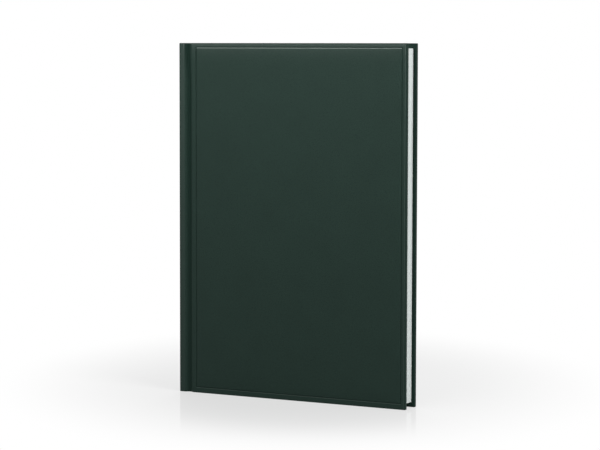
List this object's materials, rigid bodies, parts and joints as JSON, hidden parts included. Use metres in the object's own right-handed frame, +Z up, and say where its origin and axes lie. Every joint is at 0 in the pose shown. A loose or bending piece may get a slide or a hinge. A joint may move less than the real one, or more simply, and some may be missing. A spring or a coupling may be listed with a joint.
{
  "type": "planner",
  "caption": "Closed case-bound desk planner with padded leatherette covers, a pressed frame line, square spine, joint grooves and white pages; both covers open.",
  "frame": {"origin": "middle of the tail edge, on the surface that the planner stands on: centre of the bounding box's lower face", "axes": "+Z up from tail to head; the front cover faces -Y and the back cover +Y; the spine is at -X and the fore-edge at +X"},
  "size_m": [0.152, 0.0152, 0.211],
  "materials": {
    "leatherette": "matte",
    "pages": "matte",
    "endpaper": "matte",
    "board": "matte",
    "padding": "matte",
    "hinge_cloth": "matte",
    "band": "satin"
  },
  "bodies": {
    "pages_and_spine": {"page_block": "pages", "front_flyleaf": "endpaper", "back_flyleaf": "endpaper", "spine_cloth": "hinge_cloth", "headband": "band", "tailband": "band", "spine_board": "board", "spine_wrap": "leatherette"},
    "front_cover": {"front_board": "board", "front_padding": "padding", "front_hinge_cloth": "hinge_cloth", "front_cover_wrap": "leatherette", "front_pastedown": "endpaper"},
    "back_cover": {"back_board": "board", "back_padding": "padding", "back_hinge_cloth": "hinge_cloth", "back_cover_wrap": "leatherette", "back_pastedown": "endpaper"}
  },
  "joints": [
    {"name": "front_cover_hinge", "type": "hinge", "parent": "pages_and_spine", "child": "front_cover", "pos_m": [-0.0692, -0.0076, 0.1055], "axis": [0, 0, -1], "range_deg": [0, 179]},
    {"name": "back_cover_hinge", "type": "hinge", "parent": "pages_and_spine", "child": "back_cover", "pos_m": [-0.0692, 0.0076, 0.1055], "axis": [0, 0, 1], "range_deg": [0, 179]}
  ]
}
